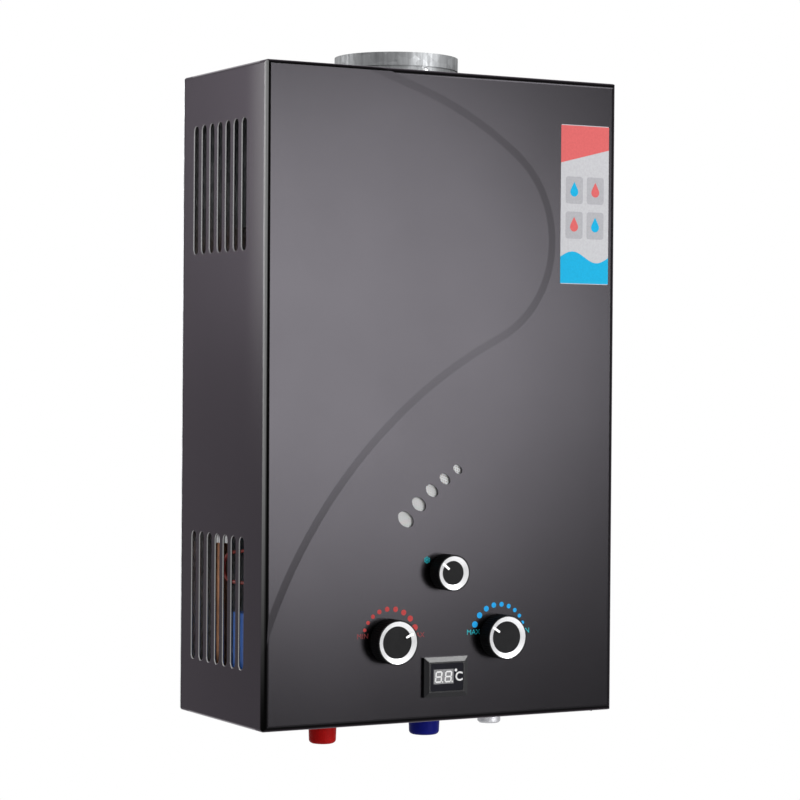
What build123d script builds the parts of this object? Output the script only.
from build123d import *
import os
from math import acos, atan2, cos, degrees, hypot, radians, sin, sqrt

# Wall-hung gas water heater, in millimetres.
# X is to the right as seen from the front, +Y goes into the wall, Z is up.
# The origin is the centre of the back plate's wall face.

# Case
CASE_WIDTH = 347.0
CASE_HEIGHT = 560.0
CASE_DEPTH = 168.0
SHEET = 1.0
FRONT_BEND = 5.4
CORNER_BEND = 3.0
BACK_SHEET = 1.2
BACK_FLANGE = 13.0
SEAM = 0.3
BOTTOM_SHEET = 1.2
BOTTOM_LIP = 9.0
BOTTOM_BACK_LIP = 15.0
FIT = 0.05
BRAZE_GAP = 0.1
RUN_OUT = 12.0

# Pressed field of the front: straight entry, long arc, tight bend, long reversed tail
PAD_STEP = 0.4
PAD_STEP_AT_TOP = 0.07
PAD_SLOPE = 7.0
PAD_ENTRY_ANGLE = 18.5
PAD_TOP_R = 336.0
PAD_TOP_FROM_SIDE = 38.5
PAD_TOP_DROP = 335.0
PAD_BEND_R = 95.0
PAD_TAIL_R = 449.0
PAD_TAIL_FROM_SIDE = 424.5
PAD_TAIL_DROP = 632.0

# Side louvres
LOUVRE_COUNT = 7
LOUVRE_PITCH = 16.2
LOUVRE_LENGTH = 113.6
LOUVRE_MOUTH = 10.8
LOUVRE_FROM_WALL = 75.5
LOUVRE_FROM_TOP = 101.4
LOUVRE_FROM_BOTTOM = 104.4
LIP_ROLL = 1.0
LIP_WALL = 1.0
LIP_DEPTH = 1.6
PANEL_MARGIN = 4.0

# Wall fixing and cover screws
WALL_HOLE_R = 3.5
WALL_HOLE_FROM_SIDE = 33.5
WALL_HOLE_FROM_TOP = 25.0
KEYHOLE_HEAD_R = 6.5
KEYHOLE_NECK_R = 3.2
KEYHOLE_RISE = 12.0
KEYHOLE_DROP = 40.0
SCREW_R = 1.9
SCREW_HEAD_R = 3.8
SCREW_HEAD = 2.0
SCREW_LENGTH = 7.0
SCREW_FROM_SIDE = 53.5
SCREW_FROM_WALL = 8.0

# Knobs
KNOB_PAIR_X = 54.1
KNOB_PAIR_RISE = 71.5
SEASON_RISE = 129.0
KNOB_HEIGHT = 16.0
KNOB_GAP = 0.7
KNOB_WALL = 2.5
KNOB_FACE = 7.0
MAIN_KNOB_R = 19.2
MAIN_RING_INNER_R = 13.9
MAIN_FLUTES = 48
SEASON_KNOB_R = 15.6
SEASON_RING_INNER_R = 10.4
SEASON_FLUTES = 40
FLUTE_R = 0.5
KNOB_RIM = 1.2
RING_SEAT = 3.2
RING_DISH = 1.8
DISC_DEPTH = 2.0
POINTER_WIDTH = 1.7
POINTER_REACH = 4.9
POINTER_DROP = 0.7
POINTER_MARGIN = 1.1
GAS_POINTER = 26.0
WATER_POINTER = 147.0
SEASON_POINTER = 142.0
SPINDLE_R = 4.0
SPINDLE_FLAT = 1.0
HUB_WALL = 3.0
SPINDLE_HOLE_R = 6.5

# Sight windows, the largest at the lower left
WINDOW_COUNT = 5
WINDOW_X = -38.9
WINDOW_RISE = 175.0
WINDOW_STEP_X = 12.75
WINDOW_STEP_Z = 13.6
WINDOW_SAG = 0.75
WINDOW_LONG_R = 8.5
WINDOW_SHORT_R = 5.9
WINDOW_SHRINK = 0.105
WINDOW_TILT = -36.0
MESH_PITCH = 2.2
MESH_HOLE_R = 0.65
MESH_SHEET = 0.6
MESH_GAP = 1.2
MESH_RIM = 1.5
MESH_MARGIN = 7.0

# Display
BEZEL_WIDTH = 43.2
BEZEL_HEIGHT = 34.5
BEZEL_RISE = 38.8
BEZEL_WALL = 3.1
BEZEL_BEVEL = 4.0
BEZEL_CROWN = 2.0
BEZEL_LEDGE = 2.0
BEZEL_NECK = 12.0
LENS_MARGIN = 1.4
LENS_SHEET = 1.2
LENS_DROP = 0.3
LENS_CORNER = 1.5
DIGIT_WIDTH = 24.0
DIGIT_HEIGHT = 16.0
DIGIT_CLEAR = 0.5
BOARD_SHEET = 1.6

# Flue collar and draught hood
COLLAR_R = 55.0
COLLAR_WALL = 1.0
COLLAR_RISE = 20.0
COLLAR_PLAIN = 11.6
COLLAR_NECK_IN = 1.5
COLLAR_CLEAR = 0.8
NECK_CLEAR = 0.2
NECK_RISE = 9.0
RIVET_COUNT = 3
RIVET_SHANK_R = 1.6
RIVET_HEAD_R = 3.6
RIVET_HEAD = 1.2
RIVET_RISE = 4.0
HOOD_SHEET = 1.0
HOOD_DROP = 20.0
HOOD_HEIGHT = 112.0
HOOD_SIDE_REACH = 8.0
HOOD_FRONT_REACH = 6.0
DRAUGHT_INSET = 31.0
DRAUGHT_HEIGHT = 30.0
DRAUGHT_RISE = 17.0

# Combustion chamber, fins and tubes
CHAMBER_SIDE_ROOM = 54.5
CHAMBER_FRONT_ROOM = 37.1
CHAMBER_FROM_WALL = 17.5
CHAMBER_RISE = 184.0
CHAMBER_CORNER = 14.0
CHAMBER_SHEET = 1.0
SIGHT_WIDTH = 64.0
SIGHT_HEIGHT = 30.0
SIGHT_X = -12.0
SIGHT_RISE = 24.0
TUBE_R = 6.0
TUBE_WALL = 1.0
COIL_CLEAR = 0.3
COIL_START_RISE = 50.0
COIL_END_DROP = 70.0
COIL_HALF_TURNS = 3
COIL_MIN_STEP = 15.0
RISER_OFFSET = 30.0
RISER_BEND = 14.0
FIN_EDGE = 20.5
FIN_PITCH = 8.6
FIN_SHEET = 0.8
FIN_HEIGHT = 40.0
FIN_DROP = 28.0
FIN_CLEAR = 0.8
PASS_EDGE = 15.5
PASS_PITCH = 20.0
U_BEND_R = 9.5
U_REACH = 18.0
TUBE_STUB = 12.0

# Burner
FRAME_HEIGHT = 24.0
FRAME_SHEET = 1.0
FRAME_LEDGE = 6.0
BAR_EDGE = 60.0
BAR_PITCH = 25.0
BAR_WIDTH = 15.0
BAR_HEAD = 18.0
BAR_CLEAR = 0.5
BAR_SHEET = 0.8
VENTURI_WIDTH = 12.0
VENTURI_DROP = 31.0
VENTURI_BACK = 20.0
VENTURI_R = 4.5
VENTURI_AXIS_DROP = 19.0
BURNER_PORT_WIDTH = 1.2
BURNER_PORT_PITCH = 6.0
BURNER_PORT_LENGTH = 11.0

# Gas side
MANIFOLD_INSET = 18.0
MANIFOLD_DEPTH = 20.0
MANIFOLD_HEIGHT = 35.0
MANIFOLD_DROP = 12.0
INJECTOR_BASE_R = 4.0
INJECTOR_BASE = 4.0
INJECTOR_TIP_R = 2.5
INJECTOR_TIP = 5.0
INJECTOR_BORE_R = 0.8
MANIFOLD_TO_VENTURI = 14.0
VALVE_HALF_WIDTH = 32.0
VALVE_FROM_FRONT = 38.6
VALVE_FROM_WALL = 62.0
VALVE_ABOVE = 29.0
VALVE_BELOW = 29.5
VALVE_EDGE = 4.0
BOSS_R = 13.0
BOSS_LENGTH = 12.0
BORE_DEPTH = 12.0
BORE_END_CLEAR = 1.0
NECK_R = 9.0
SOLENOID_R = 13.0
SOLENOID_LENGTH = 32.0
SOLENOID_CAP_R = 8.0
SOLENOID_CAP = 5.0
GAS_PIPE_R = 7.0
GAS_PIPE_RISE = 75.0
GAS_PIPE_LOW = 32.0
GAS_PIPE_FROM_WALL = 42.0
GAS_PIPE_BEND = 15.0

# Water side
ROD_R = 3.0
ROD_STROKE = 4.0
HOUSING_R = 29.0
HOUSING_CAVITY_R = 22.0
HOUSING_BODY = 8.0
HOUSING_CAVITY = 5.0
DIAPHRAGM_SHEET = 1.2
DIAPHRAGM_COVER = 8.3
COVER_FLOOR = 1.5
GUIDE_R = 7.0
GUIDE_LENGTH = 4.0
LIFT_PLATE_R = 18.0
LIFT_PLATE = 1.5
ROD_COLLAR_R = 9.0
ROD_COLLAR = 3.0
ROD_COLLAR_GAP = 4.0
ROD_INSERT = 16.0
ROD_END_CLEAR = 8.0
SPRING_LENGTH = 9.0
SPRING_R = 4.6
SPRING_WIRE_R = 0.5
SPRING_TURNS = 4
VALVE_GUIDE = 6.7
OUTLET_SETBACK = 18.0
OUTLET_RISE = 20.5
OUTLET_STUB = 16.0
COLD_BEND = 24.0
COIL_JOIN_RISE = 130.0

# Microswitch
MICRO_WIDTH = 6.4
MICRO_BOTTOM = 14.5
MICRO_HEIGHT = 11.0
MICRO_FACE = 4.0
EAR_SHEET = 1.0
EAR_REACH = 2.0
EAR_HALF_HEIGHT = 2.0
LEVER_SHEET = 0.6
LEVER_GAP = 0.2
LEVER_WIDTH = 5.0
LEVER_PIVOT_RISE = 22.5
LEVER_LENGTH = 15.5
LEVER_KNUCKLE_R = 1.4
LEVER_PIN_R = 0.8

# Nipples, caps and their row
PIPE_ROW_Y = -80.0
HOT_X = -72.5
COLD_X = 30.0
GAS_FROM_BOX = 22.9
NIPPLE_R = 10.48
NIPPLE_BORE_R = 6.5
NIPPLE_NECK_R = 10.2
NIPPLE_DROP = 20.5
GAS_NIPPLE_DROP = 17.0
NIPPLE_CHAMFER = 1.6
HEX_R = 12.5
HEX_HEIGHT = 8.0
LOCKNUT_R = 14.0
LOCKNUT_HEIGHT = 4.5
HOT_SPIGOT_R = 8.0
HOT_SPIGOT = 4.0
COLD_SPIGOT_R = 10.0
FILTER_R = 5.6
FILTER_WALL = 0.6
FILTER_LENGTH = 16.0
FILTER_FLANGE_R = 7.4
FILTER_FLANGE = 1.2
FILTER_SEAT_R = 7.5
FILTER_SEAT_DROP = 8.0
HOT_PIPE_LEVEL = 30.0
HOT_PIPE_BEND = 13.0
CAP_CLEAR = 0.35
CAP_TOP_GAP = 1.0
CAP_BOTTOM_FILLET = 3.5
HOT_CAP_R = 12.6
COLD_CAP_R = 14.2
CAP_TAPER = 0.8
HOT_CAP_DROP = 25.4
COLD_CAP_DROP = 23.5
CAP_FLOOR_GAP = 0.4

# Igniter, sensors and leads
IGNITER_SHARE = 0.737
IGNITER_DEPTH = 48.0
IGNITER_HEIGHT = 91.0
IGNITER_FROM_SIDE = 6.0
IGNITER_FROM_FRONT = 26.0
IGNITER_EDGE = 2.0
ELECTRODE_X = 62.0
SENSOR_X = -62.0
ELECTRODE_RISE = 10.0
CERAMIC_R = 3.5
CERAMIC_IN = 14.0
CERAMIC_OUT = 12.0
CERAMIC_FLANGE_R = 7.0
CERAMIC_FLANGE = 2.0
WIRE_R = 1.0
WIRE_IN = 20.0
THERMOSTAT_R = 8.0
THERMOSTAT_HEIGHT = 9.0
THERMOSTAT_X = -70.0
THERMOSTAT_DROP = 26.0
PROBE_RISE = 150.0
PROBE_LENGTH = 14.0
PROBE_WALL = 1.5
PROBE_R = 2.5
LEAD_R = 1.5
LEAD_BEND = 7.0
LEAD_SWEEP = 18.0
LEAD_OFFSET = 9.0
LEAD_STUB = 13.0
LEAD_RISE = 50.0
LEAD_CLIMB = 12.0
LEAD_REACH = 45.0
LEAD_SIDE_CLEAR = 15.0
LEAD_LOOP = 11.0
LEAD_LOOP_BACK = 32.0
LEAD_LOOP_RISE = 24.0
LEAD_LOOP_SHARE = 0.22
DISPLAY_LEAD_X = 30.0

# Batteries
BATTERY_R = 16.6
BATTERY_LENGTH = 59.0
BATTERY_NUB_R = 5.0
BATTERY_NUB = 2.0
BATTERY_PITCH = 35.0
BATTERY_CLEAR = 0.8
BATTERY_WALL = 1.5
BATTERY_FROM_SIDE = 14.0
BATTERY_FROM_FRONT = 12.0
BATTERY_FLANGE = 3.0
CONTACT_SHEET = 1.0
CONTACT_R = 12.0
DOOR_SHEET = 1.6
DOOR_GAP = 0.3
DOOR_SIDE_GAP = 0.5
HINGE_R = 1.3
HINGE_OFFSET = 1.6
HINGE_PIN_R = 0.8
LUG_WIDTH = 3.0
LUG_R = 1.6

# Support brackets
BRACKET_SHEET = 2.0
BRACKET_WIDTH = 24.0
BRACKET_X = 70.0
BRACKET_TAB = 16.0

# Levels and planes worked out from the driving sizes
SIDE = CASE_WIDTH / 2
TOP = CASE_HEIGHT / 2
BOTTOM = -TOP
FRONT = -CASE_DEPTH
FIELD = FRONT + PAD_STEP
INNER_SIDE = SIDE - SHEET
INNER_FRONT = FIELD + SHEET
BACK_FACE = -BACK_SHEET
COVER_BACK = BACK_FACE - SEAM
FLOOR_BASE = BOTTOM + SHEET + SEAM + BACK_SHEET
FLOOR_TOP = FLOOR_BASE + BOTTOM_SHEET
PAD_TOP_X = -SIDE + PAD_TOP_FROM_SIDE
PAD_TAIL_X = -SIDE + PAD_TAIL_FROM_SIDE
LOUVRE_ROWS = (BOTTOM + LOUVRE_FROM_BOTTOM, TOP - LOUVRE_FROM_TOP)
WALL_HOLE_X = SIDE - WALL_HOLE_FROM_SIDE
WALL_HOLE_Z = TOP - WALL_HOLE_FROM_TOP
SCREW_X = SIDE - SCREW_FROM_SIDE
KNOB_Z = BOTTOM + KNOB_PAIR_RISE
SEASON_Z = BOTTOM + SEASON_RISE
CHAMBER_BASE = BOTTOM + CHAMBER_RISE
CHAMBER_WIDTH = 2 * (INNER_SIDE - CHAMBER_SIDE_ROOM)
CHAMBER_FRONT = INNER_FRONT + CHAMBER_FRONT_ROOM
CHAMBER_BACK = -CHAMBER_FROM_WALL
CHAMBER_DEPTH = CHAMBER_BACK - CHAMBER_FRONT
FLUE_Y = (CHAMBER_FRONT + CHAMBER_BACK) / 2
HOOD_WIDTH = CHAMBER_WIDTH + 2 * HOOD_SIDE_REACH
HOOD_DEPTH = CHAMBER_DEPTH + 2 * HOOD_FRONT_REACH
DRAUGHT_WIDTH = HOOD_WIDTH - 2 * DRAUGHT_INSET
HOOD_TOP = TOP - HOOD_DROP
COLLAR_FOOT_R = COLLAR_R - COLLAR_NECK_IN
HOOD_NECK_R = COLLAR_FOOT_R - COLLAR_WALL - NECK_CLEAR
CHAMBER_TOP = HOOD_TOP - HOOD_HEIGHT
HOOD_FRONT = FLUE_Y - HOOD_DEPTH / 2
HOOD_BACK = FLUE_Y + HOOD_DEPTH / 2
RISER_X = CHAMBER_WIDTH / 2 + RISER_OFFSET
COIL_X = CHAMBER_WIDTH / 2 + COIL_CLEAR + TUBE_R
COIL_FRONT = CHAMBER_FRONT - COIL_CLEAR - TUBE_R
COIL_BACK = CHAMBER_BACK + COIL_CLEAR + TUBE_R
COIL_BEND = CHAMBER_CORNER + COIL_CLEAR + TUBE_R
COIL_Z = CHAMBER_BASE + COIL_START_RISE
COIL_JOIN_Z = BOTTOM + COIL_JOIN_RISE
EXCHANGER_Z = CHAMBER_TOP - FIN_DROP
COIL_ROOM = EXCHANGER_Z - COIL_END_DROP - COIL_Z
FIN_COUNT = int((CHAMBER_WIDTH - FIN_EDGE) / FIN_PITCH) + 1
PASS_COUNT = 1 + 2 * int((CHAMBER_DEPTH / 2 - PASS_EDGE) / PASS_PITCH)
BAR_COUNT = int((CHAMBER_WIDTH - BAR_EDGE) / BAR_PITCH) + 1
MANIFOLD_WIDTH = CHAMBER_WIDTH - 2 * MANIFOLD_INSET
LEAD_SIDE_X = HOOD_WIDTH / 2 + LEAD_SIDE_CLEAR
FRAME_BASE = CHAMBER_BASE - FRAME_HEIGHT
BAR_BASE = FRAME_BASE + FRAME_SHEET
VALVE_TOP = KNOB_Z + VALVE_ABOVE
VALVE_BOTTOM = KNOB_Z - VALVE_BELOW
VALVE_FRONT = INNER_FRONT + VALVE_FROM_FRONT
VALVE_BACK = -VALVE_FROM_WALL
ROD_Y = (VALVE_FRONT + VALVE_BACK) / 2
OUTLET_Y = VALVE_FRONT + OUTLET_SETBACK
BOSS_FRONT = VALVE_FRONT - BOSS_LENGTH
BORE_END = VALVE_FRONT + BORE_DEPTH
MANIFOLD_FRONT = VALVE_FRONT
MANIFOLD_BACK = MANIFOLD_FRONT + MANIFOLD_DEPTH
MANIFOLD_BASE = SEASON_Z - MANIFOLD_DROP
MANIFOLD_TOP = MANIFOLD_BASE + MANIFOLD_HEIGHT
INJECTOR_Z = BAR_BASE - VENTURI_AXIS_DROP
GAS_FLANK = -KNOB_PAIR_X + VALVE_HALF_WIDTH
WATER_FLANK = KNOB_PAIR_X - VALVE_HALF_WIDTH
DIAPHRAGM_RIGHT = WATER_FLANK - HOUSING_BODY
DIAPHRAGM_LEFT = DIAPHRAGM_RIGHT - DIAPHRAGM_SHEET
COVER_LEFT = DIAPHRAGM_LEFT - DIAPHRAGM_COVER
COLLAR_RIGHT = COVER_LEFT - GUIDE_LENGTH - ROD_COLLAR_GAP
COLLAR_LEFT = COLLAR_RIGHT - ROD_COLLAR
LEVER_X = COLLAR_LEFT - LEVER_GAP - LEVER_SHEET / 2
LEVER_Z = KNOB_Z + LEVER_PIVOT_RISE
IGNITER_LEFT = -INNER_SIDE + IGNITER_FROM_SIDE
SOLENOID_LEFT = -KNOB_PAIR_X - VALVE_HALF_WIDTH - SOLENOID_LENGTH - SOLENOID_CAP
IGNITER_WIDTH = IGNITER_SHARE * (SOLENOID_LEFT - IGNITER_LEFT)
IGNITER_FRONT = INNER_FRONT + IGNITER_FROM_FRONT
ELECTRODE_Z = CHAMBER_BASE + ELECTRODE_RISE
CELL_HALF = BATTERY_R + BATTERY_CLEAR
BOX_RIGHT = INNER_SIDE - BATTERY_FROM_SIDE
BOX_LEFT = BOX_RIGHT - 2 * (CELL_HALF + BATTERY_WALL)
BOX_FRONT = INNER_FRONT + BATTERY_FROM_FRONT
BOX_BACK = BOX_FRONT + BATTERY_PITCH + 2 * (CELL_HALF + BATTERY_WALL)
BOX_X = (BOX_LEFT + BOX_RIGHT) / 2
GAS_X = BOX_LEFT - GAS_FROM_BOX
BOX_Y = (BOX_FRONT + BOX_BACK) / 2
BOX_BASE = BOTTOM + SHEET
DOOR_TOP = BOX_BASE - DOOR_GAP
DOOR_BASE = DOOR_TOP - DOOR_SHEET
HINGE_X = BOX_RIGHT + HINGE_OFFSET
HINGE_Z = (DOOR_TOP + DOOR_BASE) / 2
CELL_BASE = DOOR_TOP + CONTACT_SHEET
CELL_TOP = CELL_BASE + BATTERY_LENGTH + BATTERY_NUB
BOX_CEILING = CELL_TOP + CONTACT_SHEET


def span(x0, x1, y0, y1, z0, z1):
    """A block between two corners."""
    block = Box(x1 - x0, y1 - y0, z1 - z0)
    return Pos((x0 + x1) / 2, (y0 + y1) / 2, (z0 + z1) / 2) * block


def rod_x(x0, x1, y, z, radius):
    return Pos((x0 + x1) / 2, y, z) * Rot(0, 90, 0) * Cylinder(radius, x1 - x0)


def rod_y(x, y0, y1, z, radius):
    return Pos(x, (y0 + y1) / 2, z) * Rot(90, 0, 0) * Cylinder(radius, y1 - y0)


def rod_z(x, y, z0, z1, radius):
    return Pos(x, y, (z0 + z1) / 2) * Cylinder(radius, z1 - z0)


def hex_z(x, y, z0, z1, radius):
    return Pos(x, y, z0) * extrude(RegularPolygon(radius, 6), amount=z1 - z0)


def group(solids):
    return Compound(children=[solid.solid() for solid in solids])


def face_plane(x, z, y=FIELD):
    """A plane on the front, x to the right and y up as seen from outside."""
    return Plane(origin=(x, y, z), x_dir=(1, 0, 0), z_dir=(0, -1, 0))


def tube(points, bends, radius, wall=0.0):
    """A round tube on straight runs and tangent arcs, solid where wall is 0."""
    path = FilletPolyline(*points, radius=bends)
    section = Circle(radius)
    if wall:
        section = section - Circle(radius - wall)
    return sweep(Plane(origin=path @ 0, z_dir=path % 0) * section, path=path)


# Case

def case_block(front, inset, back):
    """The case's folded block, drawn in by inset on its five closed sides, its front folds mitred."""
    block = span(
        -SIDE + inset, SIDE - inset, front + inset, back, BOTTOM + inset, TOP - inset
    )
    front_edges = block.faces().sort_by(Axis.Y)[0].edges()
    upright = fillet(front_edges.filter_by(Axis.Z), FRONT_BEND - inset)
    level = fillet(front_edges.filter_by(Axis.X), FRONT_BEND - inset)
    return fillet(block.edges().filter_by(Axis.Y), CORNER_BEND - inset) & upright & level


def polar(centre, radius, angle):
    return (
        centre[0] + radius * cos(radians(angle)),
        centre[1] + radius * sin(radians(angle)),
    )


def bend_centre(first, last):
    """Centre of the tight bend, inside the top circle and outside the tail circle."""
    from_top = PAD_TOP_R - PAD_BEND_R
    from_tail = PAD_TAIL_R + PAD_BEND_R
    dx = last[0] - first[0]
    dz = last[1] - first[1]
    apart = hypot(dx, dz)
    along = (from_top**2 - from_tail**2 + apart**2) / (2 * apart)
    across = sqrt(from_top**2 - along**2)
    return (
        first[0] + (along * dx - across * dz) / apart,
        first[1] + (along * dz + across * dx) / apart,
    )


def pad_outline(offset, y, lean):
    """The pressed field's closed outline, moved outwards by offset, at depth y where it leaves the side."""
    top = (PAD_TOP_X, TOP - PAD_TOP_DROP)
    tail = (PAD_TAIL_X, TOP - PAD_TAIL_DROP)
    bend = bend_centre(top, tail)
    enter = 90 - PAD_ENTRY_ANGLE
    meet_bend = degrees(atan2(bend[1] - top[1], bend[0] - top[0]))
    meet_tail = degrees(atan2(tail[1] - bend[1], tail[0] - bend[0]))
    tail_r = PAD_TAIL_R - offset
    left = -SIDE - RUN_OUT
    leave = degrees(acos((left - tail[0]) / tail_r))
    arcs = (
        (top, PAD_TOP_R + offset, enter, meet_bend),
        (bend, PAD_BEND_R + offset, meet_bend, meet_tail),
        (tail, tail_r, meet_tail + 180, leave),
    )

    last = polar(tail, tail_r, leave)

    def at(point):
        return (point[0], y + lean * (point[1] - last[1]) / (TOP - last[1]), point[1])

    start = polar(top, PAD_TOP_R + offset, enter)
    entry = (TOP + RUN_OUT - start[1]) / sin(radians(PAD_ENTRY_ANGLE))
    first = polar(start, entry, 180 - PAD_ENTRY_ANGLE)
    edges = [Line(at(first), at(start))]
    for centre, radius, begin, end in arcs:
        mid = (begin + end) / 2
        stops = [at(polar(centre, radius, angle)) for angle in (begin, mid, end)]
        edges.append(ThreePointArc(*stops))
    corner = (left, first[1])
    edges.append(Line(at(last), at(corner)))
    edges.append(Line(at(corner), at(first)))
    return Wire(edges)


def case_form(inset, back):
    """The case's form with its raised field, which fades towards the top, drawn in by inset."""
    crown = pad_outline(-PAD_SLOPE / 2, FRONT + inset, PAD_STEP - PAD_STEP_AT_TOP)
    foot = pad_outline(PAD_SLOPE / 2, FIELD + inset, 0.0)
    slope = Solid.make_loft([crown, foot], ruled=True)
    base = extrude(Face(foot), amount=RUN_OUT, dir=(0, 1, 0))
    raised = case_block(FRONT, inset, back) & (slope + base)
    return case_block(FIELD, inset, back) + raised


def louvre_slot(x, y, z, mouth, depth):
    """An upright round-ended bar that runs from x towards +X."""
    plane = Plane(origin=(x, y, z), x_dir=(0, 0, 1), z_dir=(1, 0, 0))
    return extrude(plane * SlotOverall(LOUVRE_LENGTH - LOUVRE_MOUTH + mouth, mouth), amount=depth)


def louvre_panel():
    """The left side's louvred sheet, with each slot's edge rolled inwards."""
    half_row = (LOUVRE_COUNT - 1) * LOUVRE_PITCH / 2
    reach_y = half_row + LOUVRE_MOUTH / 2 + PANEL_MARGIN
    reach_z = LOUVRE_LENGTH / 2 + PANEL_MARGIN
    hole = LOUVRE_MOUTH - 2 * LIP_ROLL
    bounds = (
        -LOUVRE_FROM_WALL - reach_y, -LOUVRE_FROM_WALL + reach_y,
        LOUVRE_ROWS[0] - reach_z, LOUVRE_ROWS[1] + reach_z,
    )
    panel = span(-SIDE, -INNER_SIDE, *bounds)
    places = [
        (-LOUVRE_FROM_WALL - half_row + column * LOUVRE_PITCH, row)
        for row in LOUVRE_ROWS
        for column in range(LOUVRE_COUNT)
    ]
    panel = panel + [louvre_slot(-SIDE, y, z, hole + 2 * LIP_WALL, LIP_DEPTH) for y, z in places]
    panel = panel - [louvre_slot(-SIDE - SHEET, y, z, hole, SHEET + 2 * LIP_DEPTH) for y, z in places]
    outside = panel.faces().filter_by(Axis.X).sort_by(Axis.X)[0]
    mouths = [edge for wire in outside.inner_wires() for edge in wire.edges()]
    return fillet(mouths, LIP_ROLL), bounds


def window_places():
    """Centre and scale of each sight window."""
    places = []
    for index in range(WINDOW_COUNT):
        x = WINDOW_X + WINDOW_STEP_X * index
        z = BOTTOM + WINDOW_RISE + WINDOW_STEP_Z * index - WINDOW_SAG * index**2
        places.append((x, z, 1 - WINDOW_SHRINK * index))
    return places


def make_front_cover():
    cover = case_form(0.0, COVER_BACK) - case_form(SHEET, SHEET)
    panel, bounds = louvre_panel()
    for sheet in (panel, mirror(panel, about=Plane.YZ)):
        box = sheet.bounding_box()
        cover -= span(box.min.X, box.max.X, *bounds)
        cover += sheet
    cuts = []
    for x, z, scale in window_places():
        oval = Ellipse(WINDOW_LONG_R * scale, WINDOW_SHORT_R * scale)
        cuts.append(extrude(face_plane(x, z) * Rot(0, 0, WINDOW_TILT) * oval, amount=RUN_OUT / 2, both=True))
    for x, z in ((-KNOB_PAIR_X, KNOB_Z), (KNOB_PAIR_X, KNOB_Z), (0, SEASON_Z)):
        cuts.append(rod_y(x, FRONT - SHEET, INNER_FRONT + SHEET, z, SPINDLE_HOLE_R))
    half_w = BEZEL_WIDTH / 2 - BEZEL_LEDGE
    half_h = BEZEL_HEIGHT / 2 - BEZEL_LEDGE
    z = BOTTOM + BEZEL_RISE
    cuts.append(span(-half_w, half_w, FRONT - SHEET, INNER_FRONT + SHEET, z - half_h, z + half_h))
    cuts.append(rod_z(0, FLUE_Y, TOP - 2 * SHEET, TOP + SHEET, COLLAR_R + COLLAR_CLEAR))
    cuts.append(span(
        -SIDE + BOTTOM_LIP, SIDE - BOTTOM_LIP, FIELD + BOTTOM_LIP, -BOTTOM_BACK_LIP,
        BOTTOM - SHEET, BOTTOM + 2 * SHEET,
    ))
    for x in (-SCREW_X, SCREW_X):
        cuts.append(rod_z(x, -SCREW_FROM_WALL, BOTTOM - SHEET, TOP + SHEET, SCREW_R + BRAZE_GAP))
    return cover - cuts


def make_back_plate():
    plate = span(-SIDE, SIDE, BACK_FACE, 0, BOTTOM, TOP)
    plate = fillet(plate.edges().filter_by(Axis.Y), CORNER_BEND)
    half_w = INNER_SIDE - SEAM
    half_h = TOP - SHEET - SEAM
    rim = CORNER_BEND - SHEET - SEAM
    flange = span(-half_w, half_w, BACK_FACE - BACK_FLANGE, BACK_FACE, -half_h, half_h)
    flange = fillet(flange.edges().filter_by(Axis.Y), rim)
    inner_w = half_w - BACK_SHEET
    inner_h = half_h - BACK_SHEET
    hollow = span(-inner_w, inner_w, BACK_FACE - BACK_FLANGE, BACK_FACE, -inner_h, inner_h)
    plate += flange - fillet(hollow.edges().filter_by(Axis.Y), rim - BACK_SHEET)
    cuts = [
        rod_y(sx * WALL_HOLE_X, 2 * BACK_FACE, -BACK_FACE, sz * WALL_HOLE_Z, WALL_HOLE_R)
        for sx in (-1, 1)
        for sz in (-1, 1)
    ]
    key_z = TOP - KEYHOLE_DROP
    cuts.append(rod_y(0, 2 * BACK_FACE, -BACK_FACE, key_z, KEYHOLE_HEAD_R))
    cuts.append(rod_y(0, 2 * BACK_FACE, -BACK_FACE, key_z + KEYHOLE_RISE, KEYHOLE_NECK_R))
    cuts.append(span(
        -KEYHOLE_NECK_R, KEYHOLE_NECK_R, 2 * BACK_FACE, -BACK_FACE, key_z, key_z + KEYHOLE_RISE
    ))
    for x in (-SCREW_X, SCREW_X):
        cuts.append(rod_z(x, -SCREW_FROM_WALL, BOTTOM, TOP, SCREW_R + BRAZE_GAP))
    cuts.append(rod_z(0, FLUE_Y, HOOD_TOP, TOP, COLLAR_R + COLLAR_CLEAR))
    return plate - cuts


def make_bottom_plate():
    half_w = INNER_SIDE - 2 * SEAM - BACK_SHEET - CORNER_BEND
    front = INNER_FRONT + FRONT_BEND - SHEET
    plate = span(-half_w, half_w, front, BACK_FACE, FLOOR_BASE, FLOOR_TOP)
    through = (FLOOR_BASE - SHEET, FLOOR_TOP + SHEET)
    cuts = [rod_z(x, PIPE_ROW_Y, *through, NIPPLE_R + SEAM) for x in (HOT_X, COLD_X, GAS_X)]
    cuts.append(span(
        BOX_LEFT - SEAM, BOX_RIGHT + SEAM, BOX_FRONT - SEAM, BOX_BACK + SEAM, *through
    ))
    for x in (-SCREW_X, SCREW_X):
        cuts.append(rod_z(x, -SCREW_FROM_WALL, *through, SCREW_R + BRAZE_GAP))
    return plate - cuts


def make_cover_screws():
    screws = []
    for x in (-SCREW_X, SCREW_X):
        for end in (TOP, BOTTOM):
            way = 1 if end > 0 else -1
            levels = sorted((end, end - way * SCREW_LENGTH))
            shank = rod_z(x, -SCREW_FROM_WALL, *levels, SCREW_R)
            levels = sorted((end, end + way * SCREW_HEAD))
            head = rod_z(x, -SCREW_FROM_WALL, *levels, SCREW_HEAD_R)
            screws.append(shank + head)
    return group(screws)


# Knobs

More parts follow.
